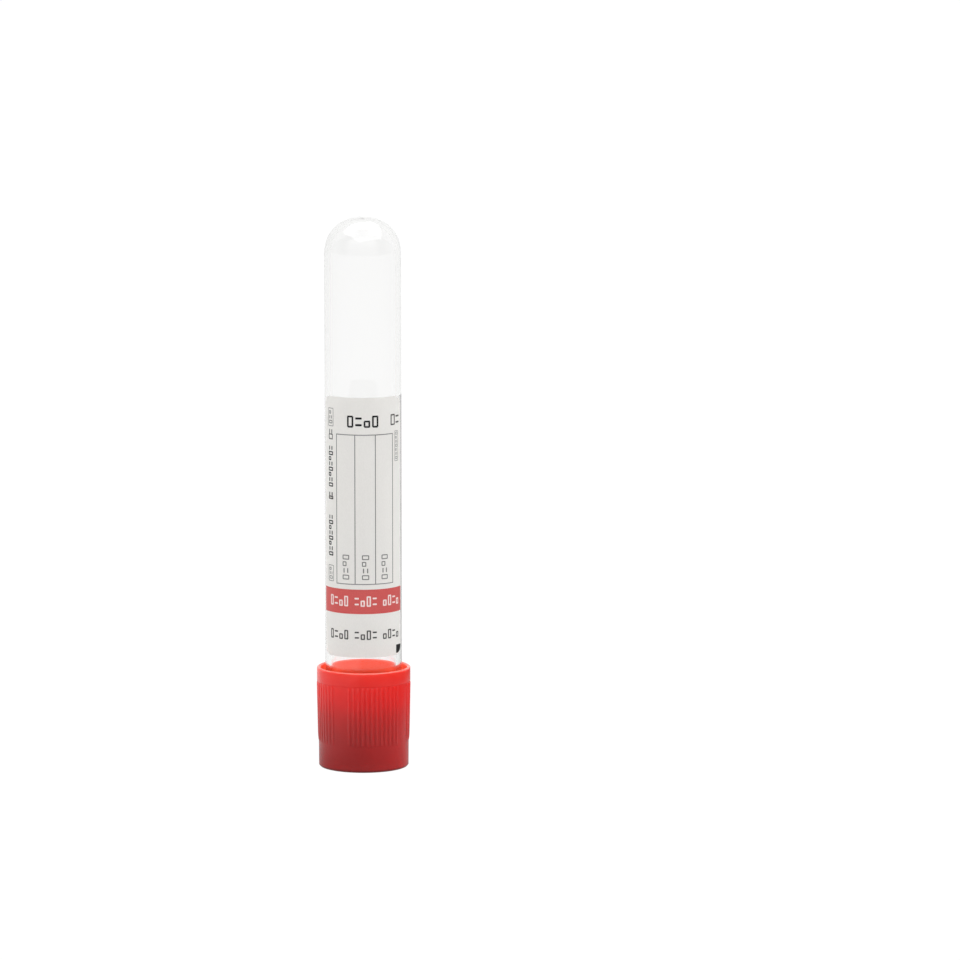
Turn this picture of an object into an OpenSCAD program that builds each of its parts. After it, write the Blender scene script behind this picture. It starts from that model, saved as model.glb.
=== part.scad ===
// Blood collection tube: a round-bottomed glass tube closed by a rubber stopper that a
// ribbed cap carries. It stands mouth down on the cap's flat end, centred on Z, with the
// round bottom on top and the label facing -Y. All sizes are in millimetres.

/* [Tube] */
// Outer diameter of the glass
tube_od = 16; // [10:0.5:20]
// Length of the glass, from its lip to the tip of the round bottom
tube_len = 109; // [90:1:150]
// Thickness of the glass
tube_wall = 1.2; // [0.8:0.1:1.6]

/* [Label] */
// Height of the label
label_h = 54.6; // [20:0.1:75]
// Distance from the cap's open rim to the label's nearer edge
label_rise = 3.1; // [1:0.05:15]
// How far the label reaches round the tube, in degrees
label_arc = 146; // [90:1:340]
// Radius of the label's corners
label_corner = 2.3; // [0.5:0.1:4]
// Thickness of the paper
paper_t = 0.08; // [0.05:0.01:0.2]
// Thickness of the glue between the paper and the glass
glue_t = 0.02; // [0.01:0.01:0.05]

/* [Stopper] */
// How far the flange reaches past the outside of the glass
flange_over = 0.65; // [0.5:0.05:1.2]
// Height of the flange
flange_h = 5.25; // [4:0.05:8]
// How much narrower the flange is at its outer end
flange_taper = 0.85; // [0.2:0.05:1.5]
// Height of the straight lip round the flange's widest part
flange_lip_h = 1; // [0.5:0.1:2]
// Height of the ridge where the lip meets the tapered side
flange_ridge = 0.15; // [0.05:0.05:0.2]
// Length of the narrow neck between the flange and the plug
neck_h = 1.3; // [0.5:0.1:2.5]
// How much narrower than the plug the neck is
neck_depth = 0.5; // [0.2:0.1:1.5]
// Length of the plug's straight side
plug_h = 5.2; // [3:0.1:10]
// Radius of the shoulder at the plug's tip
shoulder_r = 1.2; // [0.5:0.1:2]
// Height of the shallow cone that ends the plug
cone_h = 1.15; // [0.5:0.05:2]
// Diameter of the needle well in the stopper's outer end
well_d = 7.2; // [3:0.1:8]
// Depth of the needle well
well_depth = 4.6; // [1:0.1:6]

/* [Cap] */
// Height of the cap
cap_h = 21.1; // [17:0.1:30]
// Thickness of the cap's closed end
end_t = 1.35; // [0.8:0.05:2]
// Diameter of the needle port in the closed end
port_d = 8.6; // [4:0.1:10]
// Chamfer round the port's outer edge
port_chamfer = 0.2; // [0.1:0.05:0.5]
// Thickness of the wall round the stopper's flange
pocket_wall = 0.7; // [0.6:0.05:1.5]
// Chamfer round the closed end's outer edge
end_chamfer = 0.3; // [0.1:0.05:0.5]
// Height of the smooth band at the closed end
end_band_h = 5.4; // [2:0.1:7]
// How much that band widens over its height
end_band_draft = 0.04; // [0:0.01:0.1]
// Thickness of the wall at the open rim
rim_wall = 0.75; // [0.5:0.05:1.5]
// Height of the smooth band at the open rim
rim_band_h = 2.9; // [1.5:0.1:5]
// How far the rim band stands out from the wall between the ribs
rim_step = 0.1; // [0.02:0.02:0.3]
// How far the bead that holds the flange reaches over it
bead_hold = 0.3; // [0.1:0.05:0.45]
// Height of the bead's edge
bead_edge = 0.2; // [0.1:0.05:0.4]
// Height of the bead, with its lead-in slope
bead_h = 0.7; // [0.5:0.05:2]

/* [Ribs] */
// Number of groups of grip ribs round the cap
rib_groups = 4; // [1:1:4]
// Ribs in each group
group_ribs = 12; // [2:1:14]
// Ribs left out between two groups, where the wall stays plain
panel_ribs = 3; // [1:1:3]
// Turn of the first group's middle round the cap, in degrees
rib_turn = 15; // [0:1:90]
// Height of a rib over the wall between the ribs
rib_h = 0.17; // [0.05:0.01:0.3]
// Width of a rib where it leaves the wall
rib_w = 0.68; // [0.4:0.02:0.8]
// Width of a rib's crest
rib_crest_w = 0.34; // [0.1:0.02:0.38]

/* [Fits] */
// Radial gap between the plug and the inside of the glass
plug_fit = 0.02; // [0.01:0.01:0.1]
// Gap between the glass lip and the flange that it rests on
lip_gap = 0.05; // [0.02:0.01:0.1]
// Radial gap between the flange and the cap's pocket
flange_fit = 0.05; // [0.02:0.01:0.1]
// Gap between the flange and the bead over it
bead_gap = 0.05; // [0.02:0.01:0.1]
// Radial gap between the glass and the cap just past the bead
skirt_gap = 0.88; // [0.86:0.02:2]
// Radial gap between the glass and the cap at the open rim
rim_gap = 1.05; // [0.9:0.05:2.5]

/* [Hidden] */
$fn = 180;
// Shapes that are cut away or sunk into each other overlap by this much
over = 0.3;

tube_r = tube_od / 2;
bore_r = tube_r - tube_wall;

flange_z = end_t;
flange_top = flange_z + flange_h;
flange_r = tube_r + flange_over;
flange_base_r = flange_r - flange_taper;
lip_z = flange_top + lip_gap;
tube_top = lip_z + tube_len;

plug_r = bore_r - plug_fit;
plug_z = flange_top + neck_h;
shoulder_z = plug_z + plug_h;
cone_r = plug_r - shoulder_r;
cone_z = shoulder_z + shoulder_r;

pocket_r = flange_r + flange_fit;
pocket_top = flange_top + bead_gap;
end_r = pocket_r + pocket_wall;
skirt_r = tube_r + skirt_gap;
rim_in_r = tube_r + rim_gap;
rim_r = rim_in_r + rim_wall;
grip_r0 = end_r + end_band_draft;
grip_r1 = rim_r - rim_step;
grip_top = cap_h - rim_band_h;
grip_h = grip_top - end_band_h;
grip_tilt = atan((grip_r1 - grip_r0) / grip_h);
group_slots = group_ribs + panel_ribs;
rib_pitch = 360 / (rib_groups * group_slots);

label_in_r = tube_r + glue_t;
label_out_r = label_in_r + paper_t;
label_z = cap_h + label_rise;
// Straight cuts that round one corner of the label
corner_steps = 8;
// How far the ends of a corner's cut lie outside the sheet, so that they cross its edges
skim = 0.01;
// Where the centres of the corner arcs lie round the tube
corner_turn = label_arc / 2 - asin((label_corner - skim) / label_out_r);

// A round-bottomed solid of radius r, from z to the tip at the top
module bullet(r, z, top) {
    translate([0, 0, z]) cylinder(r = r, h = top - r - z);
    translate([0, 0, top - r]) sphere(r = r);
}

// One glass wall, open at the lip, with the lip melted round
module tube() {
    lip_r = tube_wall / 2;
    color([0.9, 0.95, 0.97, 0.4])
    union() {
        difference() {
            bullet(tube_r, lip_z + lip_r, tube_top);
            bullet(bore_r, lip_z + lip_r - over, tube_top - tube_wall);
        }
        rotate_extrude()
            translate([bore_r + lip_r, lip_z + lip_r])
            circle(r = lip_r);
    }
}

// What is cut from one corner of the label to round it
module label_corner_cut() {
    depth = 2 * tube_wall;
    far = label_corner + over;
    arc = [for (i = [0 : corner_steps]) label_corner * [cos(90 * i / corner_steps), sin(90 * i / corner_steps)]];
    translate([0, depth - label_out_r - over, 0])
        rotate([90, 0, 0])
        linear_extrude(depth)
        polygon(concat([[far, 0]], arc, [[0, far], [far, far]]));
}

// A curved sheet with four rounded corners
module label() {
    corner_rise = label_h / 2 - label_corner + skim;
    color([0.87, 0.87, 0.86])
    translate([0, 0, label_z + label_h / 2])
    difference() {
        rotate([0, 0, -90 - label_arc / 2])
            rotate_extrude(angle = label_arc)
            translate([label_in_r, -label_h / 2])
            square([paper_t, label_h]);
        for (side = [0, 1], end = [0, 1])
            mirror([side, 0, 0])
            mirror([0, 0, end])
            rotate([0, 0, corner_turn])
            translate([0, 0, corner_rise])
            label_corner_cut();
    }
}

// The stopper's half section, with z along the second axis
module stopper_section() {
    ridge_z = flange_top - flange_lip_h;
    difference() {
        union() {
            polygon([
                [0, flange_z],
                [flange_base_r, flange_z],
                [flange_r - flange_ridge, ridge_z],
                [0, ridge_z]
            ]);
            translate([0, ridge_z]) square([flange_r, flange_lip_h]);
            translate([0, ridge_z]) square([plug_r - neck_depth, plug_z - ridge_z]);
            translate([0, plug_z]) square([plug_r, plug_h]);
            translate([cone_r, shoulder_z]) circle(r = shoulder_r);
            polygon([
                [0, shoulder_z],
                [cone_r, shoulder_z],
                [cone_r, cone_z],
                [0, cone_z + cone_h]
            ]);
        }
        translate([0, flange_z - over]) square([well_d / 2, well_depth + over]);
    }
}

// Flange, neck and coned plug in one piece of rubber
module stopper() {
    color([0.3, 0.3, 0.31])
    rotate_extrude()
        stopper_section();
}

// The cap's half section without its ribs
module cap_section() {
    port_r = port_d / 2;
    lip_r = rim_wall / 2;
    bead_r = flange_r - bead_hold;
    union() {
        polygon([
            [port_r + port_chamfer, 0],
            [end_r - end_chamfer, 0],
            [end_r, end_chamfer],
            [grip_r0, end_band_h],
            [grip_r1, grip_top],
            [rim_r, grip_top],
            [rim_r, cap_h - lip_r],
            [rim_in_r, cap_h - lip_r],
            [skirt_r, pocket_top + bead_h],
            [bead_r, pocket_top + bead_edge],
            [bead_r, pocket_top],
            [pocket_r, pocket_top],
            [pocket_r, end_t],
            [port_r, end_t],
            [port_r, port_chamfer]
        ]);
        translate([rim_in_r + lip_r, cap_h - lip_r]) circle(r = lip_r);
    }
}

// One grip rib, following the wall's slope into the rim band
module rib() {
    translate([grip_r0, 0, end_band_h])
        rotate([0, grip_tilt, 0])
        linear_extrude(grip_h + over)
        polygon([
            [-over, -rib_w / 2],
            [0, -rib_w / 2],
            [rib_h, -rib_crest_w / 2],
            [rib_h, rib_crest_w / 2],
            [0, rib_w / 2],
            [-over, rib_w / 2]
        ]);
}

// A skirt with groups of ribs, a pocket, a bead and a needle port
module cap() {
    color([0.86, 0.16, 0.14, 0.85])
    union() {
        rotate_extrude()
            cap_section();
        for (group = [0 : rib_groups - 1], i = [0 : group_ribs - 1])
            rotate([0, 0, rib_turn + (group * group_slots + i - (group_ribs - 1) / 2) * rib_pitch])
            rib();
    }
}

tube();
label();
cap();
stopper();
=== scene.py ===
import bmesh
import bpy
import math
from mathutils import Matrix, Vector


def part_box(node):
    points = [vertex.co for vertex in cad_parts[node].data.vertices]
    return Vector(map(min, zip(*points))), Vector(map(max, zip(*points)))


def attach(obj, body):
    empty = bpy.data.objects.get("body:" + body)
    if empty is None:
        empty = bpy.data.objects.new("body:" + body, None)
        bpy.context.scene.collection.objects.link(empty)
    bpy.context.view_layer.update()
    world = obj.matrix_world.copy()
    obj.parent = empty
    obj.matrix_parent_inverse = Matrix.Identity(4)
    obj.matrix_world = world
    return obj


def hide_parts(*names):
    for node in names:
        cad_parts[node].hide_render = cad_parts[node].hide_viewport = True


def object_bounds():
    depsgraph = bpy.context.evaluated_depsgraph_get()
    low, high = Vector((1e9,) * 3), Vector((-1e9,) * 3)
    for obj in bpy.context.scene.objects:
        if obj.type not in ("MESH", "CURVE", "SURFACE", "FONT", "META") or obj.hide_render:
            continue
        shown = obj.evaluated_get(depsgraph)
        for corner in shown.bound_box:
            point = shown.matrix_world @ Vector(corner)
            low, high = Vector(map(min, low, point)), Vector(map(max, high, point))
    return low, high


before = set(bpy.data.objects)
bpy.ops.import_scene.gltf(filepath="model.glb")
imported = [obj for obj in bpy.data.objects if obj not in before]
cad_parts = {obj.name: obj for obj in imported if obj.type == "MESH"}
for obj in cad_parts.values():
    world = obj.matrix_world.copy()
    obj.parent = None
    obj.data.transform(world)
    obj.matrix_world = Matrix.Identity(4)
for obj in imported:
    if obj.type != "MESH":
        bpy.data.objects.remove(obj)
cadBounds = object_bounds()

mm = 0.001  # sizes are in millimetres where no note says otherwise, and the studio's in metres
near = 0.002 * mm  # places closer together than this count as one


def deselectAll():
    bpy.ops.object.select_all(action="DESELECT")


def selectOnly(piece):
    deselectAll()
    piece.select_set(True)
    bpy.context.view_layer.objects.active = piece


def settle(piece):
    # leaves the object at the origin, with its place in its mesh
    selectOnly(piece)
    bpy.ops.object.transform_apply(location=True, rotation=True, scale=True)


def openForEditing(piece):
    selectOnly(piece)
    bpy.ops.object.mode_set(mode="EDIT")
    bpy.ops.mesh.select_all(action="DESELECT")


def closeEditing():
    bpy.ops.object.mode_set(mode="OBJECT")


def pick(piece, kind, test):
    # in edit mode, selects the vertices, edges or faces that pass the test
    bpy.ops.mesh.select_all(action="DESELECT")
    bpy.ops.mesh.select_mode(type=kind)
    mesh = bmesh.from_edit_mesh(piece.data)
    parts = {"VERT": mesh.verts, "EDGE": mesh.edges, "FACE": mesh.faces}[kind]
    for part in parts:
        if test(part):
            part.select_set(True)
    bmesh.update_edit_mesh(piece.data)


def tidyMesh():
    # merges the seams and turns the faces outwards
    bpy.ops.mesh.select_all(action="SELECT")
    bpy.ops.mesh.remove_doubles(threshold=near)
    bpy.ops.mesh.normals_make_consistent(inside=False)
    bpy.ops.mesh.select_all(action="DESELECT")


def applyModifier(piece, modifier):
    selectOnly(piece)
    bpy.ops.object.modifier_apply(modifier=modifier.name)


def giveWall(piece, thickness, side):
    # side is -1 for a wall on the inside of the faces and 1 for one on the outside
    wall = piece.modifiers.new("wall", "SOLIDIFY")
    wall.thickness = thickness
    wall.offset = side
    wall.use_even_offset = True
    applyModifier(piece, wall)


def softenEdges(piece, width, segments, sharperThan):
    # rounds the edges sharper than an angle in degrees, over a width in millimetres
    rounding = piece.modifiers.new("rounding", "BEVEL")
    rounding.width = width * mm
    rounding.segments = segments
    rounding.limit_method = "ANGLE"
    rounding.angle_limit = math.radians(sharperThan)
    applyModifier(piece, rounding)


def shadeSmooth(piece, angle):
    selectOnly(piece)
    bpy.ops.object.shade_smooth_by_angle(angle=math.radians(angle))


def levelNormals(piece):
    # large faces stay even in tone beside their narrow rounded edges
    level = piece.modifiers.new("level", "WEIGHTED_NORMAL")
    level.keep_sharp = True
    level.weight = 100
    applyModifier(piece, level)


def hand(piece, material, body, replaced=()):
    # gives a finished piece its finish and its body, and hides any CAD parts that it replaces
    piece.data.materials.clear()
    piece.data.materials.append(material)
    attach(piece, body)
    if replaced:
        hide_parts(*replaced)


def radiusAt(point):
    return math.hypot(point.x, point.y)


def turnAt(point):
    return math.degrees(math.atan2(point.y, point.x)) % 360


def onRing(point, radius, height):
    return abs(radiusAt(point) - radius) < near and abs(point.z - height) < near


def turnRings(name, rings, steps):
    # draws one ring of vertices from each (radius, height) to the next, in millimetres,
    # and leaves the piece open for editing
    radius, height = rings[0]
    deselectAll()
    bpy.ops.mesh.primitive_circle_add(
        vertices=steps, radius=radius * mm, fill_type="NOTHING", location=(0, 0, height * mm)
    )
    piece = bpy.context.object
    piece.name = name
    settle(piece)
    openForEditing(piece)
    bpy.ops.mesh.select_all(action="SELECT")
    for nextRadius, nextHeight in rings[1:]:
        rise = (nextHeight - height) * mm
        share = nextRadius / radius
        bpy.ops.mesh.extrude_region_move(TRANSFORM_OT_translate={"value": (0, 0, rise)})
        bpy.ops.transform.resize(value=(share, share, 1), center_override=(0, 0, nextHeight * mm))
        radius, height = nextRadius, nextHeight
    return piece


def closeOnAxis(piece, radius, height, tipHeight):
    # draws an open ring together into one point on the axis
    pick(piece, "VERT", lambda vert: onRing(vert.co, radius * mm, height * mm))
    bpy.ops.mesh.extrude_region_move(TRANSFORM_OT_translate={"value": (0, 0, (tipHeight - height) * mm)})
    bpy.ops.mesh.merge(type="CENTER")


def roundRing(piece, radius, height, width, segments):
    # rounds the one edge that runs round the axis at this radius and height
    def isRingEdge(edge):
        return all(onRing(vert.co, radius * mm, height * mm) for vert in edge.verts)

    pick(piece, "EDGE", isRingEdge)
    bpy.ops.mesh.bevel(
        affect="EDGES", offset=width * mm, segments=segments, profile=0.5, clamp_overlap=False
    )


def newMaterial(name):
    material = bpy.data.materials.new(name)
    material.use_nodes = True
    nodes = material.node_tree.nodes
    links = material.node_tree.links
    return material, nodes, links, nodes["Principled BSDF"]


def objectPlace(nodes, links, scale):
    # the piece's own coordinates, stretched by scale
    place = nodes.new("ShaderNodeTexCoord")
    stretch = nodes.new("ShaderNodeMapping")
    stretch.inputs["Scale"].default_value = scale
    links.new(place.outputs["Object"], stretch.inputs["Vector"])
    return stretch.outputs["Vector"]


def partsOf(nodes, links, place):
    # the X, Y and Z of a place
    parts = nodes.new("ShaderNodeSeparateXYZ")
    links.new(place, parts.inputs["Vector"])
    return parts.outputs


def fromAxis(nodes, links):
    # how far a place is from the upright axis
    distance = nodes.new("ShaderNodeVectorMath")
    distance.operation = "LENGTH"
    links.new(objectPlace(nodes, links, (1, 1, 0)), distance.inputs[0])
    return distance.outputs["Value"]


def noise(nodes, links, place, scale, detail):
    speckle = nodes.new("ShaderNodeTexNoise")
    speckle.inputs["Scale"].default_value = scale
    speckle.inputs["Detail"].default_value = detail
    links.new(place, speckle.inputs["Vector"])
    return speckle.outputs["Fac"]


def spread(nodes, links, value, low, high):
    # turns a noise value, which seldom leaves the middle half, into a number from low to high
    remap = nodes.new("ShaderNodeMapRange")
    remap.inputs["From Min"].default_value = 0.25
    remap.inputs["From Max"].default_value = 0.75
    remap.inputs["To Min"].default_value = low
    remap.inputs["To Max"].default_value = high
    links.new(value, remap.inputs["Value"])
    return remap.outputs["Result"]


def slope(nodes, links, value, fromRange, toRange):
    # runs smoothly from the first number of toRange to the second, while the value crosses fromRange
    remap = nodes.new("ShaderNodeMapRange")
    remap.interpolation_type = "SMOOTHSTEP"
    remap.inputs["From Min"].default_value = fromRange[0]
    remap.inputs["From Max"].default_value = fromRange[1]
    remap.inputs["To Min"].default_value = toRange[0]
    remap.inputs["To Max"].default_value = toRange[1]
    links.new(value, remap.inputs["Value"])
    return remap.outputs["Result"]


def feed(links, socket, value):
    # links the socket to another one, or sets it to a constant
    if isinstance(value, bpy.types.NodeSocket):
        links.new(value, socket)
    else:
        socket.default_value = value


def maths(nodes, links, operation, first, second):
    step = nodes.new("ShaderNodeMath")
    step.operation = operation
    feed(links, step.inputs[0], first)
    feed(links, step.inputs[1], second)
    return step.outputs["Value"]


def blendColors(nodes, links, share, first, second, mode="MIX"):
    mix = nodes.new("ShaderNodeMix")
    mix.data_type = "RGBA"
    mix.blend_type = mode
    # a Mix node has sockets for numbers and vectors too; these are its share and its two colours
    for index, value in ((0, share), (6, first), (7, second)):
        feed(links, mix.inputs[index], value)
    return mix.outputs[2]


def bump(nodes, links, height, strength, distance, normal=None):
    # distance is in millimetres, and normal is a relief that this one lies on
    relief = nodes.new("ShaderNodeBump")
    relief.inputs["Strength"].default_value = strength
    relief.inputs["Distance"].default_value = distance * mm
    links.new(height, relief.inputs["Height"])
    if normal:
        links.new(normal, relief.inputs["Normal"])
    return relief.outputs["Normal"]


cameraSettings = {
    "place": (0.0244, -1.366, 0.2583),
    "down": 8.241,  # degrees below level
    "lens": 247.9,
    "sensor": 36,
    "sees": (0.05, 50),  # metres
}


def addCamera():
    camera = bpy.data.objects.new("camera", bpy.data.cameras.new("camera"))
    camera.location = cameraSettings["place"]
    camera.rotation_euler = (math.radians(90 - cameraSettings["down"]), 0, 0)
    camera.data.lens = cameraSettings["lens"]
    camera.data.sensor_width = cameraSettings["sensor"]
    camera.data.clip_start, camera.data.clip_end = cameraSettings["sees"]
    bpy.context.scene.collection.objects.link(camera)
    bpy.context.scene.camera = camera


studio = {
    "floorRadius": 8,
    "floorGap": 0.05,  # millimetres below the cap
    "floorGlow": 0.99,
    "floorPale": 0.03,
    "contact": (8.0, 9.3),  # millimetres from the axis over which the floor comes out of the cap's shade
    "floorStart": (0.4, 1.1),  # metres from the object over which the floor dims at the left
    "leftTurn": (-0.2, -0.1),  # metres across for each metre from the camera, over which it dims
    "leftDim": 0.02,
    "leastAway": 0.3,  # the fewest metres from the camera that the turn is measured over
    "front": 0.39,
    "back": 1.06,
    "skyDepth": (-0.5, 0.4),  # share of a look's length that runs back, over which the sky brightens
    "horizon": 0.98,  # of the light behind, low over the floor
    "horizonRise": (0.2, 0.55),
    "leftShade": 0.05,
    "leftSky": (-0.8, -0.1),  # the same across, over which the left's shade ends
    "discSteps": 96,
    "mirrorGap": 0.025,  # millimetres below the cap
    "mirrorRadius": 0.6,  # metres of floor that glossy surfaces see in these tones
    "mirrorLeft": 0.95,
    "mirrorFront": 0.4,
    "mirrorRight": 0.6,
    "mirrorFar": 0.3,  # how much dimmer the floor is behind the right side
    "mirrorFarReach": (0.045, 0.085),
    "mirrorFade": (1.08, 0.58),  # of the front and right tones, close to the object and far from it
    "mirrorReach": (0.03, 0.12),
    "mirrorEdges": (-0.045, 0.0, 0.05),  # metres across, where the three tones lie
    "cardPlace": -1.6,  # metres from the object to the pale card in front of it
    "cardSize": (5, 2.2),
    "cardRise": (0.3, 1.9),  # metres up, over which it turns brighter
    "cardGlow": (0.95, 2.0),
    "cardSides": (1.1, 2.4),  # metres across, over which it fades
    "cardEdge": 0.4,  # of its glow at the sides
    "bounces": 16,
    "throughBounces": 12,
}


def addDisc(name, radius, gap):
    # a level disc that lies a gap in millimetres below the cap
    deselectAll()
    bpy.ops.mesh.primitive_circle_add(
        vertices=studio["discSteps"],
        radius=radius,
        fill_type="NGON",
        location=(0, 0, cadBounds[0][2] - gap * mm),
    )
    disc = bpy.context.object
    disc.name = name
    return disc


def paleFloor():
    # glows evenly, but for the cap's shade and the far left, and is clear from below
    material, nodes, links, shader = newMaterial("palefloor")
    nodes.remove(shader)
    matt = nodes.new("ShaderNodeBsdfDiffuse")
    matt.inputs["Color"].default_value = (studio["floorPale"],) * 3 + (1,)
    glow = nodes.new("ShaderNodeEmission")
    place = partsOf(nodes, links, objectPlace(nodes, links, (1, 1, 0)))
    away = maths(nodes, links, "ADD", place["Y"], -cameraSettings["place"][1])
    away = maths(nodes, links, "MAXIMUM", away, studio["leastAway"])
    turn = maths(nodes, links, "DIVIDE", place["X"], away)
    distance = fromAxis(nodes, links)
    far = slope(nodes, links, distance, studio["floorStart"], (0, 1))
    left = slope(nodes, links, turn, studio["leftTurn"], (studio["leftDim"], 0))
    dim = maths(nodes, links, "MULTIPLY", left, far)
    shade = [edge * mm for edge in studio["contact"]]
    outOfShade = slope(nodes, links, distance, shade, (0, 1))
    bright = maths(nodes, links, "MULTIPLY", maths(nodes, links, "SUBTRACT", 1, dim), outOfShade)
    links.new(maths(nodes, links, "MULTIPLY", bright, studio["floorGlow"]), glow.inputs["Strength"])
    both = nodes.new("ShaderNodeAddShader")
    clear = nodes.new("ShaderNodeBsdfTransparent")
    side = nodes.new("ShaderNodeNewGeometry")
    choice = nodes.new("ShaderNodeMixShader")
    links.new(matt.outputs["BSDF"], both.inputs[0])
    links.new(glow.outputs["Emission"], both.inputs[1])
    links.new(side.outputs["Backfacing"], choice.inputs["Fac"])
    links.new(both.outputs["Shader"], choice.inputs[1])
    links.new(clear.outputs["BSDF"], choice.inputs[2])
    links.new(choice.outputs["Shader"], nodes["Material Output"].inputs["Surface"])
    return material


def addFloor():
    floor = addDisc("floor", studio["floorRadius"], studio["floorGap"])
    floor.data.materials.append(paleFloor())


def showToMirrorsOnly(piece):
    piece.visible_camera = False
    piece.visible_diffuse = False
    piece.visible_transmission = False
    piece.visible_shadow = False


def glowMaterial(name):
    material, nodes, links, shader = newMaterial(name)
    nodes.remove(shader)
    glow = nodes.new("ShaderNodeEmission")
    links.new(glow.outputs["Emission"], nodes["Material Output"].inputs["Surface"])
    place = partsOf(nodes, links, objectPlace(nodes, links, (1, 1, 1)))
    return material, nodes, links, glow.inputs["Strength"], place


def addMirrorTones():
    # only reflections see this disc just above the floor: it is dimmer in front, to the right
    # and, beyond a little distance, behind the right side
    disc = addDisc("mirrortones", studio["mirrorRadius"], studio["mirrorGap"])
    material, nodes, links, strength, place = glowMaterial("mirrortones")
    leftEdge, middle, rightEdge = studio["mirrorEdges"]
    front = studio["mirrorFront"]
    left = slope(nodes, links, place["X"], (leftEdge, middle), (studio["mirrorLeft"], front))
    right = slope(nodes, links, place["X"], (middle, rightEdge), (0, studio["mirrorRight"] - front))
    behind = maths(nodes, links, "ADD", place["X"], place["Y"])
    reach = maths(nodes, links, "MINIMUM", place["X"], behind)
    far = slope(nodes, links, reach, studio["mirrorFarReach"], (0, -studio["mirrorFar"]))
    tone = maths(nodes, links, "ADD", maths(nodes, links, "ADD", left, right), far)
    fade = slope(nodes, links, fromAxis(nodes, links), studio["mirrorReach"], studio["mirrorFade"])
    share = slope(nodes, links, place["X"], (leftEdge, middle), (0, 1))
    faded = maths(nodes, links, "MULTIPLY", maths(nodes, links, "MULTIPLY", tone, fade), share)
    kept = maths(nodes, links, "MULTIPLY", tone, maths(nodes, links, "SUBTRACT", 1, share))
    links.new(maths(nodes, links, "ADD", faded, kept), strength)
    disc.data.materials.append(material)
    showToMirrorsOnly(disc)


def addCard():
    # only reflections see this upright card behind the camera
    wide, high = studio["cardSize"]
    deselectAll()
    bpy.ops.mesh.primitive_plane_add(
        size=1, rotation=(math.radians(-90), 0, 0), location=(0, studio["cardPlace"], high / 2)
    )
    card = bpy.context.object
    card.name = "frontcard"
    bpy.ops.transform.resize(value=(wide, 1, high), center_override=(0, 0, high / 2))
    settle(card)
    material, nodes, links, strength, place = glowMaterial("frontcard")
    rising = slope(nodes, links, place["Z"], studio["cardRise"], studio["cardGlow"])
    across = maths(nodes, links, "ABSOLUTE", place["X"], 0)
    fading = slope(nodes, links, across, studio["cardSides"], (1, studio["cardEdge"]))
    links.new(maths(nodes, links, "MULTIPLY", rising, fading), strength)
    card.data.materials.append(material)
    showToMirrorsOnly(card)


def addSky():
    # bright behind and above, softer in front and low over the floor
    sky = bpy.data.worlds.new("studio")
    bpy.context.scene.world = sky
    sky.use_nodes = True
    nodes = sky.node_tree.nodes
    links = sky.node_tree.links
    look = partsOf(nodes, links, nodes.new("ShaderNodeTexCoord").outputs["Generated"])
    depth = slope(nodes, links, look["Y"], studio["skyDepth"], (studio["front"], studio["back"]))
    low = slope(nodes, links, look["Z"], studio["horizonRise"], (studio["horizon"], 1))
    left = slope(nodes, links, look["X"], studio["leftSky"], (1 - studio["leftShade"], 1))
    strength = maths(nodes, links, "MULTIPLY", maths(nodes, links, "MULTIPLY", depth, low), left)
    links.new(strength, nodes["Background"].inputs["Strength"])
    nodes["Background"].inputs["Color"].default_value = (1, 1, 1, 1)


# spread is the angle of each lamp's beam; only lamps that shine are seen in reflections
lamps = {
    "overhead": {
        "place": (0.06, -0.1, 1.0), "aim": (0, 0, 0.05), "size": (1.5, 1.5),
        "power": 17, "spread": 180, "shines": True,
    },
    "lowRight": {
        "place": (0.045, -0.01, 0.006), "aim": (0.009, -0.003, 0), "size": (0.02, 0.006),
        "power": 0.0006, "spread": 55, "shines": False,
    },
}


def addLamp(name, place, aim, size, power, spread, shines):
    lamp = bpy.data.objects.new(name, bpy.data.lights.new(name, "AREA"))
    lamp.data.shape = "RECTANGLE"
    lamp.data.size, lamp.data.size_y = size
    lamp.data.energy = power
    lamp.data.spread = math.radians(spread)
    lamp.location = place
    direction = aim[0] - place[0], aim[1] - place[1], aim[2] - place[2]
    flat = math.hypot(direction[0], direction[1])
    lamp.rotation_euler = (math.atan2(flat, -direction[2]), 0, math.atan2(-direction[0], direction[1]))
    lamp.visible_camera = False
    lamp.visible_transmission = False
    lamp.visible_glossy = shines
    bpy.context.scene.collection.objects.link(lamp)


def addStudio():
    addFloor()
    addMirrorTones()
    addCard()
    addSky()
    for name, lamp in lamps.items():
        addLamp(name, **lamp)
    bpy.context.scene.view_settings.view_transform = "Standard"
    bpy.context.scene.cycles.max_bounces = studio["bounces"]
    bpy.context.scene.cycles.transmission_bounces = studio["throughBounces"]


addCamera()
addStudio()
print("camera, floor and lamps are in place")


glass = {
    "wall": 1.2,
    "steps": 384,
    "domeRings": 72,
    "domePower": 2.22,  # 2 is half a ball, more is fuller at the shoulder
    "crowding": 1.6,  # above 1 the dome's rings lie closer together towards the tip
    "lipShare": 0.49,  # of the wall, for each of the lip's two rounded edges
    "lipSegments": 8,
    "supports": (0.5, 1.2),  # rings just below the dome and above the lip, which keep the wall straight
    "smooth": 60,  # edges sharper than this stay sharp, in degrees
    "refraction": 1.5,
    "tint": (0.8, 0.8, 0.785, 1),
    "density": 160,
    # noises have a scale and a detail, reliefs a strength and a depth in millimetres
    "lines": (700, 2),
    "lineStretch": (1, 1, 0.02),  # drawing lines run along the tube
    "lineRelief": (0.002, 0.05),
    "waves": (90, 1),
    "waveStretch": (1, 1, 0.25),
    "waveRelief": (0.012, 0.1),
    "roughness": (0.0, 0.004),
}


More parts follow.
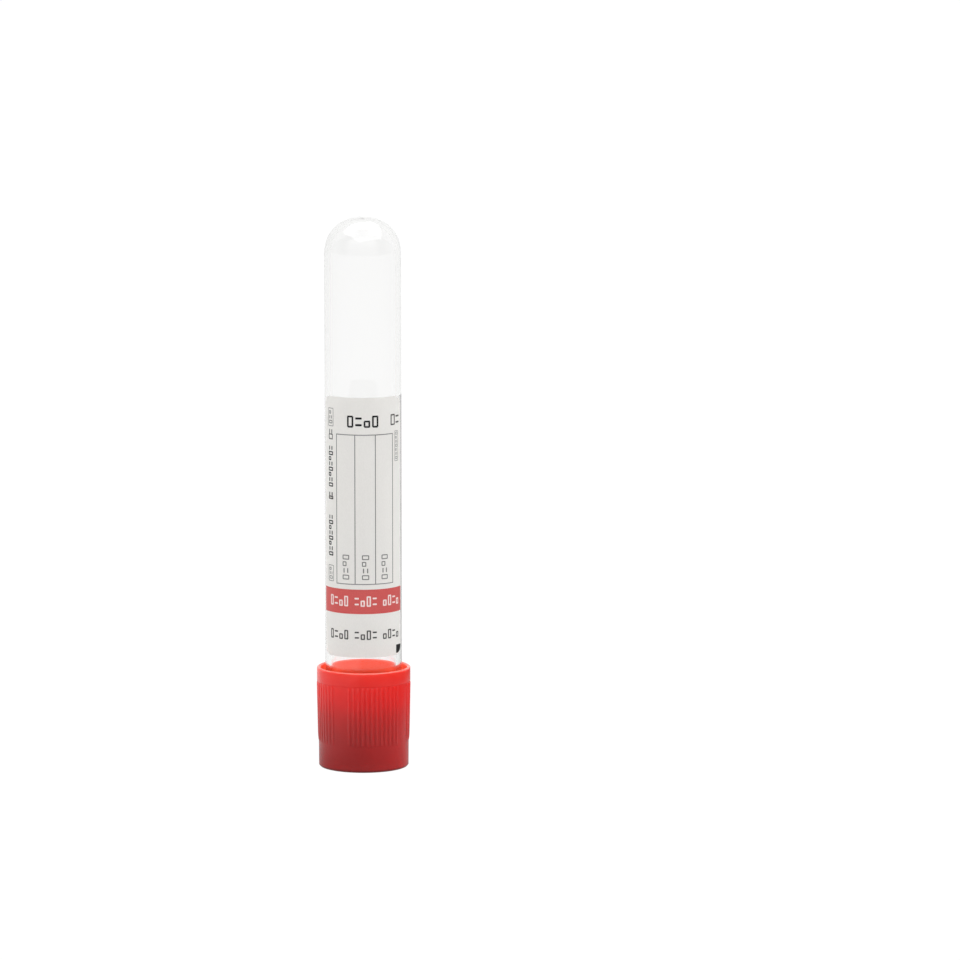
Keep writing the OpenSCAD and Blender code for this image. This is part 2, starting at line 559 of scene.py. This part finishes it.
def clearGlass():
    material, nodes, links, shader = newMaterial("clearglass")
    shader.inputs["Base Color"].default_value = (1, 1, 1, 1)
    shader.inputs["Transmission Weight"].default_value = 1
    shader.inputs["IOR"].default_value = glass["refraction"]
    lines = noise(nodes, links, objectPlace(nodes, links, glass["lineStretch"]), *glass["lines"])
    links.new(spread(nodes, links, lines, *glass["roughness"]), shader.inputs["Roughness"])
    waves = noise(nodes, links, objectPlace(nodes, links, glass["waveStretch"]), *glass["waves"])
    relief = bump(nodes, links, waves, *glass["waveRelief"])
    relief = bump(nodes, links, lines, *glass["lineRelief"], relief)
    links.new(relief, shader.inputs["Normal"])
    depth = nodes.new("ShaderNodeVolumeAbsorption")
    depth.inputs["Color"].default_value = glass["tint"]
    depth.inputs["Density"].default_value = glass["density"]
    links.new(depth.outputs["Volume"], nodes["Material Output"].inputs["Volume"])
    return material


def domeProfile(radius, start):
    # radius and height of each ring of the round bottom, in millimetres
    share = 2 / glass["domePower"]
    left = [1 - step / glass["domeRings"] for step in range(glass["domeRings"])]
    turns = [math.pi / 2 * (1 - part ** glass["crowding"]) for part in left]
    return [(radius * math.cos(turn) ** share, start + radius * math.sin(turn) ** share) for turn in turns]


def buildTube():
    low, high = [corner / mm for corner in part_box("tube")]
    radius = high.x
    dome = domeProfile(radius, high.z - radius)
    belowDome, aboveLip = glass["supports"]
    wall = [(radius, low.z), (radius, low.z + aboveLip), (radius, high.z - radius - belowDome)]
    tube = turnRings("glasstube", wall + dome, glass["steps"])
    closeOnAxis(tube, *dome[-1], high.z)
    tidyMesh()
    closeEditing()
    giveWall(tube, glass["wall"] * mm, -1)
    openForEditing(tube)
    # both edges of the lip are melted into one full round
    for ring in (radius, radius - glass["wall"]):
        roundRing(tube, ring, low.z, glass["lipShare"] * glass["wall"], glass["lipSegments"])
    closeEditing()
    shadeSmooth(tube, glass["smooth"])
    hand(tube, clearGlass(), "tube", ["tube"])
    print("tube", len(tube.data.polygons), "faces")


paper = {
    "thickness": 0.08,
    "corner": 2.3,
    "cornerSegments": 10,
    "facet": 2,  # degrees between the folds that let the sheet curve
    "smooth": 30,
    "color": (0.82, 0.803, 0.768, 1),
    "warm": (0.842, 0.812, 0.772, 1),
    "patches": (60, 2),
    "fibres": (6000, 3),
    "fibreStretch": (1, 1, 0.4),
    "grain": (0.97, 1.03),
    "roughness": (0.42, 0.56),
    "relief": (0.25, 0.01),
    "shine": 0.35,
    "sheer": (0.75, 0.25),  # share of the light that soaks in, and how far it goes, in millimetres
}

# across is measured from the label's middle, up from its lower edge, all in millimetres
printPlan = {
    "film": 0.012,
    "sunk": 0.25,  # films that the ink reaches into the paper
    "paleLayer": 0.6,  # films that the pale marks stand over the band
    "bandShort": 0.04,  # how much narrower the band is than the label
    "specks": (5000, 2),
    "grain": (0.92, 1.08),
    "roughness": (0.4, 0.55),
    "relief": (0.2, 0.008),
    "shine": 0.35,
    # a corner's size, the most of the shorter side that it may take, and its segments
    "blockCorner": (0.12, 0.4, 3),
    "ringCorner": (0.18, 0.42, 4),
    "boxCorner": (0.2, 0.42, 4),
    # where a mark's parts lie and how high they are, as shares of its height or of its stroke
    "dashPlaces": (0.28, -0.28),
    "dashStroke": 1.2,
    "lowPlace": -0.2,
    "lowHeight": 0.6,
    "inks": {
        "red": (0.6, 0.085, 0.08, 1),
        "pale": (0.86, 0.7, 0.68, 1),
        "black": (0.004, 0.004, 0.0045, 1),
        "dark": (0.075, 0.068, 0.066, 1),
        "grey": (0.19, 0.185, 0.18, 1),
    },
    "bandUp": (9.2, 14.35),
    "grid": {"across": (-5.86, -1.57, 2.71, 7.0), "up": (15.45, 46.8), "line": 0.17},
    "bandMarks": {
        "upright": False, "start": -7.3, "pitch": 1.25, "count": 12, "gapEvery": 4, "gap": 1.05,
        "line": 11.85, "size": (0.9, 2.2), "stroke": 0.29,
    },
    "footMarks": {
        "upright": False, "start": -7.3, "pitch": 1.25, "count": 12, "gapEvery": 4, "gap": 1.05,
        "line": 4.75, "size": (0.9, 2.0), "stroke": 0.27,
    },
    "topMarks": {
        "upright": False, "start": -2.55, "pitch": 1.75, "count": 4,
        "line": 49.6, "size": (1.35, 2.5), "stroke": 0.36,
    },
    "codes": [
        {
            "upright": True, "start": start, "pitch": 1.1, "count": 8,
            "line": -7.7, "size": (0.85, 1.5), "stroke": 0.26,
        }
        for start in (36.0, 21.5)
    ],
    "sideMarks": (
        {
            "upright": False, "start": 7.1, "pitch": 1.6, "count": 2,
            "line": 49.7, "size": (1.3, 2.3), "stroke": 0.28,
        },
        {
            "upright": True, "start": 33.3, "pitch": 0.75, "count": 2,
            "line": -7.7, "size": (0.75, 1.6), "stroke": 0.3,
        },
        {
            "upright": True, "start": 46.1, "pitch": 0.95, "count": 2,
            "line": -7.7, "size": (1.2, 1.4), "stroke": 0.22,
        },
    ),
    "columnMarks": [
        {
            "upright": True, "start": 16.9, "pitch": 1.4, "count": 4,
            "line": line, "size": (1.0, 1.5), "stroke": 0.2,
        }
        for line in (-3.6, 0.6, 4.8)
    ],
    "smallBoxes": (
        {"place": (-7.7, 50.2), "size": (1.8, 3.8), "line": 0.12},
        {"place": (-7.7, 17.4), "size": (1.8, 3.4), "line": 0.12},
        {"place": (8.35, 44.1), "size": (1.3, 6.4), "line": 0.1},
    ),
    "faintMarks": (
        {
            "upright": True, "start": 49.2, "pitch": 1.0, "count": 3,
            "line": -7.7, "size": (0.7, 1.1), "stroke": 0.18,
        },
        {
            "upright": True, "start": 16.5, "pitch": 0.9, "count": 3,
            "line": -7.7, "size": (0.65, 1.1), "stroke": 0.16,
        },
        {
            "upright": True, "start": 41.6, "pitch": 0.85, "count": 7,
            "line": 8.35, "size": (0.6, 0.75), "stroke": 0.13,
        },
    ),
    "cornerBlock": {"place": (9.15, 1.25), "size": (2.0, 1.75), "corner": 1.4, "segments": 6},
}


def labelPaper():
    material, nodes, links, shader = newMaterial("labelpaper")
    place = objectPlace(nodes, links, (1, 1, 1))
    patches = noise(nodes, links, place, *paper["patches"])
    fibres = noise(nodes, links, objectPlace(nodes, links, paper["fibreStretch"]), *paper["fibres"])
    tone = blendColors(nodes, links, patches, paper["color"], paper["warm"])
    grain = spread(nodes, links, fibres, *paper["grain"])
    toned = blendColors(nodes, links, 1, tone, grain, "MULTIPLY")
    links.new(toned, shader.inputs["Base Color"])
    links.new(spread(nodes, links, fibres, *paper["roughness"]), shader.inputs["Roughness"])
    links.new(bump(nodes, links, fibres, *paper["relief"]), shader.inputs["Normal"])
    shader.inputs["Specular IOR Level"].default_value = paper["shine"]
    share, reach = paper["sheer"]
    shader.inputs["Subsurface Weight"].default_value = share
    shader.inputs["Subsurface Radius"].default_value = (1, 1, 1)
    shader.inputs["Subsurface Scale"].default_value = reach * mm
    return material


def printInk(name, color):
    material, nodes, links, shader = newMaterial(name)
    place = objectPlace(nodes, links, (1, 1, 1))
    specks = noise(nodes, links, place, *printPlan["specks"])
    grain = spread(nodes, links, specks, *printPlan["grain"])
    links.new(blendColors(nodes, links, 1, color, grain, "MULTIPLY"), shader.inputs["Base Color"])
    links.new(spread(nodes, links, specks, *printPlan["roughness"]), shader.inputs["Roughness"])
    links.new(bump(nodes, links, specks, *printPlan["relief"]), shader.inputs["Normal"])
    shader.inputs["Specular IOR Level"].default_value = printPlan["shine"]
    return material


def labelFacts():
    # the radius of the sheet's inner side, half its width laid flat, and where it starts and ends
    low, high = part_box("label")
    outer = -low.y
    halfTurn = math.asin(high.x / outer)
    inner = outer - paper["thickness"] * mm
    return {"inner": inner, "half": halfTurn * inner, "low": low.z, "high": high.z}


def flatPlate(across, up, width, height):
    # one upright plate that faces -Y, added to the mesh that is open for editing
    bpy.ops.mesh.select_all(action="DESELECT")
    bpy.ops.mesh.primitive_plane_add(
        size=1, rotation=(math.radians(90), 0, 0), location=(across * mm, 0, up * mm)
    )
    bpy.ops.transform.resize(
        value=(width * mm, 1, height * mm), center_override=(across * mm, 0, up * mm)
    )


def foldAndWrap(piece, facts, lift, thickness):
    # folds the flat plates along upright lines, gives them a thickness and bends them round the glass
    openForEditing(piece)
    xs = [vert.co.x for vert in piece.data.vertices]
    fold = math.radians(paper["facet"]) * facts["inner"]
    for step in range(math.ceil(min(xs) / fold), math.floor(max(xs) / fold) + 1):
        bpy.ops.mesh.select_all(action="SELECT")
        bpy.ops.mesh.bisect(plane_co=(step * fold, 0, 0), plane_no=(1, 0, 0))
    bpy.ops.mesh.select_all(action="SELECT")
    bpy.ops.transform.translate(value=(0, -lift, facts["low"]))
    closeEditing()
    giveWall(piece, thickness, 1)
    xs = [vert.co.x for vert in piece.data.vertices]
    wrap = piece.modifiers.new("wrap", "SIMPLE_DEFORM")
    wrap.deform_method = "BEND"
    wrap.deform_axis = "Z"
    wrap.angle = (max(xs) - min(xs)) / facts["inner"]
    applyModifier(piece, wrap)
    piece.location.y = -facts["inner"]
    settle(piece)
    shadeSmooth(piece, paper["smooth"])


def startPlates(name):
    # an empty mesh, open for editing, that plates are added to
    deselectAll()
    bpy.ops.mesh.primitive_plane_add(size=1)
    piece = bpy.context.object
    piece.name = name
    openForEditing(piece)
    bpy.ops.mesh.select_all(action="SELECT")
    bpy.ops.mesh.delete(type="VERT")
    return piece


def buildLabel(facts):
    label = startPlates("label.paper")
    height = (facts["high"] - facts["low"]) / mm
    flatPlate(0, height / 2, 2 * facts["half"] / mm, height)
    bpy.ops.mesh.bevel(affect="VERTICES", offset=paper["corner"] * mm, segments=paper["cornerSegments"])
    closeEditing()
    foldAndWrap(label, facts, 0, paper["thickness"] * mm)
    hand(label, labelPaper(), "tube", ["label"])
    print("label", len(label.data.polygons), "faces")


def addBlock(across, up, width, height, corner):
    # a plain block with rounded corners
    size, most, segments = corner
    flatPlate(across, up, width, height)
    offset = min(size, most * min(width, height)) * mm
    bpy.ops.mesh.bevel(affect="VERTICES", offset=offset, segments=segments)


def addRing(across, up, width, height, corner, stroke):
    # an open block: its rounded outline with nothing inside
    addBlock(across, up, width, height, corner)
    bpy.ops.mesh.select_mode(type="FACE")
    bpy.ops.mesh.inset(thickness=stroke * mm, use_even_offset=True)
    bpy.ops.mesh.delete(type="FACE")
    bpy.ops.mesh.select_mode(type="VERT")


def addMarks(row):
    # a row of plain marks, along the label or across it:
    # a tall open block, then two dashes, then a low open block
    wide, tall = row["size"]
    stroke = row["stroke"]
    dash = printPlan["dashStroke"] * stroke
    ring = printPlan["ringCorner"], stroke
    for step in range(row["count"]):
        place = row["start"] + step * row["pitch"]
        if row.get("gapEvery"):
            place += step // row["gapEvery"] * row["gap"]
        kind = step % 3
        if kind == 0:
            shapes = [(addRing, 0, tall, ring)]
        elif kind == 1:
            block = (printPlan["blockCorner"],)
            shapes = [(addBlock, share * tall, dash, block) for share in printPlan["dashPlaces"]]
        else:
            shapes = [(addRing, printPlan["lowPlace"] * tall, printPlan["lowHeight"] * tall, ring)]
        for shape, offset, height, rest in shapes:
            if row["upright"]:
                shape(row["line"] + offset, place, height, wide, *rest)
            else:
                shape(place, row["line"] + offset, wide, height, *rest)


def addGrid(plan):
    # one ruled frame with a window for each column
    uprights = plan["across"]
    low, high = plan["up"]
    line = plan["line"]
    left, right = uprights[0], uprights[-1]
    flatPlate((left + right) / 2, (low + high) / 2, right - left + line, high - low + line)
    sides = [(across - line / 2, across + line / 2) for across in uprights]
    for place in [edge for pair in sides for edge in pair][1:-1]:
        bpy.ops.mesh.select_all(action="SELECT")
        bpy.ops.mesh.bisect(plane_co=(place * mm, 0, 0), plane_no=(1, 0, 0))
    for place in (low + line / 2, high - line / 2):
        bpy.ops.mesh.select_all(action="SELECT")
        bpy.ops.mesh.bisect(plane_co=(0, 0, place * mm), plane_no=(0, 0, 1))
    piece = bpy.context.object

    def isWindow(face):
        middle = face.calc_center_median() / mm
        between = all(abs(middle.x - across) > line for across in uprights)
        return between and low + line < middle.z < high - line

    pick(piece, "FACE", isWindow)
    bpy.ops.mesh.delete(type="FACE")
    bpy.ops.mesh.select_mode(type="VERT")


def finishPrint(piece, facts, ink, layer=0):
    # layer is how many films the ink stands over the other inks
    closeEditing()
    lift = paper["thickness"] * mm + (layer - printPlan["sunk"]) * printPlan["film"] * mm
    foldAndWrap(piece, facts, lift, printPlan["film"] * mm)
    hand(piece, ink, "tube")


def buildPrint(facts):
    inks = printPlan["inks"]
    # the coloured band reaches from edge to edge
    band = startPlates("print.band")
    low, high = printPlan["bandUp"]
    width = 2 * facts["half"] / mm - printPlan["bandShort"]
    flatPlate(0, (low + high) / 2, width, high - low)
    finishPrint(band, facts, printInk("bandink", inks["red"]))
    pale = startPlates("print.pale")
    addMarks(printPlan["bandMarks"])
    finishPrint(pale, facts, printInk("paleink", inks["pale"]), printPlan["paleLayer"])
    black = startPlates("print.black")
    addMarks(printPlan["topMarks"])
    for row in printPlan["codes"]:
        addMarks(row)
    # only the block's lower outer corner is rounded, as the label's is
    block = printPlan["cornerBlock"]
    flatPlate(*block["place"], *block["size"])
    edge = (block["place"][0] + block["size"][0] / 2) * mm
    foot = (block["place"][1] - block["size"][1] / 2) * mm
    pick(black, "VERT", lambda vert: math.hypot(vert.co.x - edge, vert.co.z - foot) < near)
    bpy.ops.mesh.bevel(affect="VERTICES", offset=block["corner"] * mm, segments=block["segments"])
    finishPrint(black, facts, printInk("blackink", inks["black"]))
    dark = startPlates("print.dark")
    addMarks(printPlan["footMarks"])
    for row in printPlan["sideMarks"]:
        addMarks(row)
    finishPrint(dark, facts, printInk("darkink", inks["dark"]))
    ruled = startPlates("print.ruled")
    addGrid(printPlan["grid"])
    for row in printPlan["columnMarks"]:
        addMarks(row)
    for frameBox in printPlan["smallBoxes"]:
        addRing(*frameBox["place"], *frameBox["size"], printPlan["boxCorner"], frameBox["line"])
    for row in printPlan["faintMarks"]:
        addMarks(row)
    finishPrint(ruled, facts, printInk("ruledink", inks["grey"]))
    print("print in five inks")


rubber = {
    "base": 1.35,
    "flangeTop": 6.6,
    "baseRadius": 7.8,
    "ridge": 0.15,
    "lipHeight": 1,
    "neckRadius": 6.28,
    "plugBase": 7.9,
    "shoulder": 13.1,
    "shoulderRadius": 1.2,
    "shoulderShare": 0.98,  # of the shoulder's radius that is rounded
    "shoulderSegments": 10,
    "cone": 1.15,
    "wellRadius": 3.6,
    "wellDepth": 4.6,
    "wellTip": 0.3,
    "clearance": 0.02,
    "steps": 180,
    "edges": (0.1, 3, 25),  # width, segments and least angle of the rounded edges
    "smooth": 50,
    "color": (0.066, 0.068, 0.072, 1),
    "bloomed": (0.088, 0.09, 0.095, 1),
    "bloom": (180, 3),
    "bloomRelief": (0.1, 0.1),
    "grain": (5000, 3),
    "grainRelief": (0.3, 0.02),
    "roughness": (0.45, 0.62),
}


def greyRubber():
    material, nodes, links, shader = newMaterial("greyrubber")
    place = objectPlace(nodes, links, (1, 1, 1))
    bloom = noise(nodes, links, place, *rubber["bloom"])
    grain = noise(nodes, links, place, *rubber["grain"])
    tone = blendColors(nodes, links, bloom, rubber["color"], rubber["bloomed"])
    links.new(tone, shader.inputs["Base Color"])
    links.new(spread(nodes, links, grain, *rubber["roughness"]), shader.inputs["Roughness"])
    relief = bump(nodes, links, grain, *rubber["grainRelief"])
    relief = bump(nodes, links, bloom, *rubber["bloomRelief"], relief)
    links.new(relief, shader.inputs["Normal"])
    return material


def buildStopper():
    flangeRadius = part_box("stopper")[1].x / mm
    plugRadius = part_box("tube")[1].x / mm - glass["wall"] - rubber["clearance"]
    ridgeHeight = rubber["flangeTop"] - rubber["lipHeight"]
    coneRadius = plugRadius - rubber["shoulderRadius"]
    coneHeight = rubber["shoulder"] + rubber["shoulderRadius"]
    wellTop = rubber["base"] + rubber["wellDepth"]
    rings = [
        (rubber["wellRadius"], wellTop),
        (rubber["wellRadius"], rubber["base"]),
        (rubber["baseRadius"], rubber["base"]),
        (flangeRadius - rubber["ridge"], ridgeHeight),
        (flangeRadius, ridgeHeight),
        (flangeRadius, rubber["flangeTop"]),
        (rubber["neckRadius"], rubber["flangeTop"]),
        (rubber["neckRadius"], rubber["plugBase"]),
        (plugRadius, rubber["plugBase"]),
        (plugRadius, coneHeight),
        (coneRadius, coneHeight),
    ]
    stopper = turnRings("rubberstopper", rings, rubber["steps"])
    rounded = rubber["shoulderRadius"] * rubber["shoulderShare"]
    roundRing(stopper, plugRadius, coneHeight, rounded, rubber["shoulderSegments"])
    closeOnAxis(stopper, coneRadius, coneHeight, coneHeight + rubber["cone"])
    closeOnAxis(stopper, rubber["wellRadius"], wellTop, wellTop + rubber["wellTip"])
    tidyMesh()
    closeEditing()
    softenEdges(stopper, *rubber["edges"])
    shadeSmooth(stopper, rubber["smooth"])
    levelNormals(stopper)
    hand(stopper, greyRubber(), "stopper", ["stopper"])
    print("stopper", len(stopper.data.polygons), "faces")


cap = {
    "steps": 360,  # one for each degree, so that every rib starts and ends on a vertex
    "port": 4.3,
    "portChamfer": 0.2,
    "endThickness": 1.35,
    "endRadius": 9.4,
    "endChamfer": 0.3,
    "bandTop": 5.4,
    "bandRadius": 9.44,
    "gripTop": 18.2,
    "gripRadius": 9.7,
    "rimRadius": 9.8,
    "rimInner": 9.05,
    "skirtInner": 8.88,
    "beadRadius": 8.35,
    "beadEdge": 6.85,
    "beadFoot": 7.35,
    "pocketTop": 6.65,
    "pocketRadius": 8.7,
    "lipShare": 0.49,  # of the rim's wall, for each of its two rounded edges
    "lipSegments": 6,
    "edges": (0.07, 3, 28),
    "smooth": 50,
}

ribs = {
    "pitch": 6,
    "first": 342,  # turn of the first rib, in degrees from +X
    "inGroup": 12,
    "slots": 15,  # of a group and the plain panel after it
    "height": 0.15,
    "crest": 1.2,  # half the crest's width, in degrees
    # each level adds its share of the height between two places
    "levels": ((5.45, 18.05, 0.25), (5.75, 17.95, 0.3), (6.25, 17.8, 0.3), (6.95, 17.55, 0.15)),
    "rings": (5.5, 5.8, 6.3, 7.0, 17.5, 17.75, 17.9, 18.0),
    # painted highlight: a pale tone on the rib crests
    "pale": (0.9, 0.62, 0.6, 1),
    "crestHighlightShare": 0.014,  # of the pale tone on the crests
    "crestHighlightRise": (0.02, 0.12),  # millimetres above the grooves, over which it comes in
}

# a small pad below the ribs, left by the mould
mouldPad = {
    "turn": 105,
    "half": 2.1,  # degrees
    "heights": (4.2, 4.9),
    "rise": 0.09,
    "outside": 9,  # faces nearer the axis than this are left alone
}

# heights and reaches are in millimetres
plastic = {
    # painted shade and light: share of the cap's height, and the colour there, darker low down where the
    # stopper lies behind the wall and lighter towards the rim
    "tones": (
        (0.0, (0.31, 0.006, 0.006)),
        (0.3, (0.345, 0.007, 0.007)),
        (0.55, (0.5, 0.007, 0.006)),
        (0.72, (0.74, 0.007, 0.006)),
        (0.9, (0.86, 0.012, 0.007)),
        (1.0, (0.9, 0.03, 0.014)),
    ),
    # painted light: the open inside above the stopper gets a brighter colour and a glow, standing in for
    # the light that comes through the wall
    "inside": (0.97, 0.09, 0.06, 1),
    "insideRadius": (9.35, 9.15),
    "insideRise": (7.4, 8.4),
    "light": (1, 0.11, 0.05, 1),
    "lightRise": (17.9, 19.5),
    "glow": (0.22, 0.72),
    "sideGlow": 0.5,  # share of the glow where the wall stands side on
    "sideDepth": (2, 5.5),
    "lip": (1, 0.13, 0.1, 1),  # painted highlight: a lighter tone along the rim's top edge
    "lipHighlightRise": (20.75, 21.05),
    "foot": 0.4,  # painted shade: share of the colour kept at the foot, where it stands on the floor
    "footShadeRise": (0.15, 0.75),
    "mottle": (150, 2),
    "mottled": (0.96, 1.04),
    "grain": (3500, 3),
    "grainRelief": (0.06, 0.02),
    "flow": (400, 2),
    "flowStretch": (1, 1, 0.3),
    "flowRelief": (0.04, 0.06),
    "roughness": (0.17, 0.27),
    "refraction": 1.45,
    "shine": 0.5,
    "soaked": 0.6,  # share of the light that soaks in
    "soakColor": (1, 0.1, 0.08),
    "soakReach": 2,
}


def coneSlope():
    # how much the radius grows for each millimetre of height along the ribs
    return (cap["gripRadius"] - cap["bandRadius"]) / (cap["gripTop"] - cap["bandTop"])


def climb(nodes, links, value, reach, toRange):
    # a slope over a reach in millimetres
    return slope(nodes, links, value, [edge * mm for edge in reach], toRange)


def paintedHeightShading(nodes, links, up):
    # painted shade and light: the cap's colour runs from dark low down, where the stopper lies behind the
    # wall, to bright red at the rim
    ramp = nodes.new("ShaderNodeValToRGB")
    ramp.color_ramp.interpolation = "B_SPLINE"
    stops = ramp.color_ramp.elements
    while len(stops) < len(plastic["tones"]):
        stops.new(0.5)
    for stop, (share, tone) in zip(stops, plastic["tones"]):
        stop.position = share
        stop.color = (*tone, 1)
    links.new(maths(nodes, links, "DIVIDE", up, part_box("cap")[1].z), ramp.inputs["Fac"])
    return ramp.outputs["Color"]


def paintedCrestHighlight(nodes, links, up, radius):
    # painted highlight: how much of the pale tone lies on a place, where the crests stand proud of the
    # grooves
    valley = cap["bandRadius"] - coneSlope() * cap["bandTop"]
    proud = maths(nodes, links, "SUBTRACT", radius, maths(nodes, links, "MULTIPLY", up, coneSlope()))
    reach = [valley + rise for rise in ribs["crestHighlightRise"]]
    return climb(nodes, links, proud, reach, (0, ribs["crestHighlightShare"]))


def redPlastic():
    material, nodes, links, shader = newMaterial("redplastic")
    place = objectPlace(nodes, links, (1, 1, 1))
    parts = partsOf(nodes, links, place)
    up = parts["Z"]
    radius = fromAxis(nodes, links)
    # painted shade and light by height
    toned = paintedHeightShading(nodes, links, up)
    # painted light: a brighter colour and a glow on the open inside above the stopper, weaker where the
    # wall stands side on
    inside = climb(nodes, links, radius, plastic["insideRadius"], (0, 1))
    above = climb(nodes, links, up, plastic["insideRise"], (0, 1))
    inside = maths(nodes, links, "MULTIPLY", inside, above)
    toned = blendColors(nodes, links, inside, toned, plastic["inside"])
    lit = climb(nodes, links, up, plastic["lightRise"], plastic["glow"])
    depth = maths(nodes, links, "ABSOLUTE", parts["Y"], 0)
    fade = climb(nodes, links, depth, plastic["sideDepth"], (plastic["sideGlow"], 1))
    lit = maths(nodes, links, "MULTIPLY", lit, fade)
    links.new(maths(nodes, links, "MULTIPLY", inside, lit), shader.inputs["Emission Strength"])
    shader.inputs["Emission Color"].default_value = plastic["light"]
    # painted highlight along the rim's top edge
    lip = climb(nodes, links, up, plastic["lipHighlightRise"], (0, 1))
    toned = blendColors(nodes, links, lip, toned, plastic["lip"])
    # painted shade: the cap's lowest part is darker, where it stands on the floor
    foot = climb(nodes, links, up, plastic["footShadeRise"], (plastic["foot"], 1))
    toned = blendColors(nodes, links, 1, toned, foot, "MULTIPLY")
    # painted highlight on the rib crests
    crestHighlight = paintedCrestHighlight(nodes, links, up, radius)
    toned = blendColors(nodes, links, crestHighlight, toned, ribs["pale"])
    mottle = spread(nodes, links, noise(nodes, links, place, *plastic["mottle"]), *plastic["mottled"])
    links.new(blendColors(nodes, links, 1, toned, mottle, "MULTIPLY"), shader.inputs["Base Color"])
    grain = noise(nodes, links, place, *plastic["grain"])
    flow = noise(nodes, links, objectPlace(nodes, links, plastic["flowStretch"]), *plastic["flow"])
    links.new(spread(nodes, links, grain, *plastic["roughness"]), shader.inputs["Roughness"])
    relief = bump(nodes, links, grain, *plastic["grainRelief"])
    relief = bump(nodes, links, flow, *plastic["flowRelief"], relief)
    links.new(relief, shader.inputs["Normal"])
    shader.inputs["IOR"].default_value = plastic["refraction"]
    shader.inputs["Specular IOR Level"].default_value = plastic["shine"]
    shader.inputs["Subsurface Weight"].default_value = plastic["soaked"]
    shader.inputs["Subsurface Radius"].default_value = plastic["soakColor"]
    shader.inputs["Subsurface Scale"].default_value = plastic["soakReach"] * mm
    return material


def pushRibs(piece):
    # lifts the crests of the ribs out of the wall, in levels that soften their two ends
    def isCrest(vert, low, high):
        slot = (turnAt(vert.co) - ribs["first"]) / ribs["pitch"]
        offCentre = abs(slot - round(slot)) * ribs["pitch"]
        inGroup = round(slot) % ribs["slots"] < ribs["inGroup"]
        outside = radiusAt(vert.co) > 0.5 * (cap["bandRadius"] + cap["rimInner"]) * mm
        return inGroup and offCentre < ribs["crest"] and outside and low * mm < vert.co.z < high * mm

    for low, high, share in ribs["levels"]:
        pick(piece, "VERT", lambda vert: isCrest(vert, low, high))
        grow = 1 + share * ribs["height"] / cap["gripRadius"]
        bpy.ops.transform.resize(value=(grow, grow, 1), center_override=(0, 0, 0))


def addMouldPad(piece):
    def isPadColumn(face):
        middle = face.calc_center_median()
        beside = abs(turnAt(middle) - mouldPad["turn"]) < mouldPad["half"]
        onBand = cap["endChamfer"] * mm < middle.z < cap["bandTop"] * mm
        return beside and onBand and radiusAt(middle) > mouldPad["outside"] * mm

    def isPad(face):
        low, top = mouldPad["heights"]
        return isPadColumn(face) and low * mm < face.calc_center_median().z < top * mm

    for height in mouldPad["heights"]:
        pick(piece, "FACE", isPadColumn)
        bpy.ops.mesh.bisect(plane_co=(0, 0, height * mm), plane_no=(0, 0, 1))
    pick(piece, "FACE", isPad)
    bpy.ops.mesh.extrude_region_move()
    grow = 1 + mouldPad["rise"] / cap["bandRadius"]
    bpy.ops.transform.resize(value=(grow, grow, 1), center_override=(0, 0, 0))


def buildCap():
    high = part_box("cap")[1].z / mm
    gripRings = [
        (cap["bandRadius"] + coneSlope() * (height - cap["bandTop"]), height) for height in ribs["rings"]
    ]
    rings = [
        (cap["port"] + cap["portChamfer"], 0),
        (cap["endRadius"] - cap["endChamfer"], 0),
        (cap["endRadius"], cap["endChamfer"]),
        (cap["bandRadius"], cap["bandTop"]),
        *gripRings,
        (cap["gripRadius"], cap["gripTop"]),
        (cap["rimRadius"], cap["gripTop"]),
        (cap["rimRadius"], high),
        (cap["rimInner"], high),
        (cap["skirtInner"], cap["beadFoot"]),
        (cap["beadRadius"], cap["beadEdge"]),
        (cap["beadRadius"], cap["pocketTop"]),
        (cap["pocketRadius"], cap["pocketTop"]),
        (cap["pocketRadius"], cap["endThickness"]),
        (cap["port"], cap["endThickness"]),
        (cap["port"], cap["portChamfer"]),
        (cap["port"] + cap["portChamfer"], 0),
    ]
    piece = turnRings("ribbedcap", rings, cap["steps"])
    tidyMesh()
    rounded = cap["lipShare"] * (cap["rimRadius"] - cap["rimInner"])
    for ring in (cap["rimRadius"], cap["rimInner"]):
        roundRing(piece, ring, high, rounded, cap["lipSegments"])
    pushRibs(piece)
    addMouldPad(piece)
    closeEditing()
    softenEdges(piece, *cap["edges"])
    shadeSmooth(piece, cap["smooth"])
    levelNormals(piece)
    hand(piece, redPlastic(), "cap", ["cap"])
    print("cap", len(piece.data.polygons), "faces")


labelShape = labelFacts()
buildTube()
buildLabel(labelShape)
buildPrint(labelShape)
buildStopper()
buildCap()
